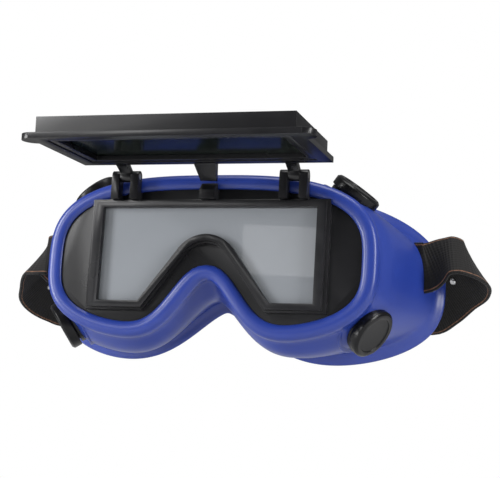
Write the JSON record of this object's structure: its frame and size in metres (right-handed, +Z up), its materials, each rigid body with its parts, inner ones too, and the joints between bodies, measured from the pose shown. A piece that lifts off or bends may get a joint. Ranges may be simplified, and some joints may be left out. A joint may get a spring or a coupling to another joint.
{
  "type": "welding goggles",
  "caption": "Lift-front welding goggles with a soft ventilated body, clear nose-arched lens, flip-up shade lens visor and elastic headband.",
  "frame": {"origin": "centre of the face opening, at the height of the bezel's middle, in the plane of the body's temple edges", "axes": "+Y points out of the face opening towards the wearer's head, +Z up as worn, +X to the right of someone looking at the front"},
  "size_m": [0.2505, 0.1891, 0.0954],
  "materials": {
    "soft_body": "satin moulded PVC, deep blue",
    "hard_black": "moulded black plastic, semi-gloss",
    "clear_lens": "clear polycarbonate",
    "cover_glass": "clear cover plate",
    "shade_glass": "dark green filter glass",
    "gasket": "matt rubber",
    "vent_plastic": "moulded black plastic, satin",
    "webbing": "woven elastic, black with brown edge thread",
    "steel": "plain steel"
  },
  "bodies": {
    "mask": {"body": "soft_body", "front_frame": "hard_black", "clear_lens": "clear_lens", "lens_retainer": "hard_black", "hinge_pin_left": "steel", "hinge_pin_right": "steel", "vent_base_upper_left": "vent_plastic", "vent_base_upper_right": "vent_plastic", "vent_base_lower_left": "vent_plastic", "vent_base_lower_right": "vent_plastic", "vent_cap_upper_left": "vent_plastic", "vent_cap_upper_right": "vent_plastic", "vent_cap_lower_left": "vent_plastic", "vent_cap_lower_right": "vent_plastic", "headband": "webbing", "strap_rivet_left": "steel", "strap_rivet_right": "steel"},
    "visor": {"visor_shell": "hard_black", "cover_lens": "cover_glass", "lens_gasket": "gasket", "shade_lens": "shade_glass", "visor_retainer": "hard_black"},
    "adjuster": {"strap_adjuster": "hard_black"}
  },
  "joints": [
    {"name": "visor_flip", "type": "hinge", "parent": "mask", "child": "visor", "pos_m": [0, -0.0707, 0.0368], "axis": [1, 0, 0], "range_deg": [0, 86]},
    {"name": "adjuster_slide", "type": "slide", "parent": "mask", "child": "adjuster", "axis": [1, 0, 0], "range_m": [-0.014, 0.014]}
  ]
}
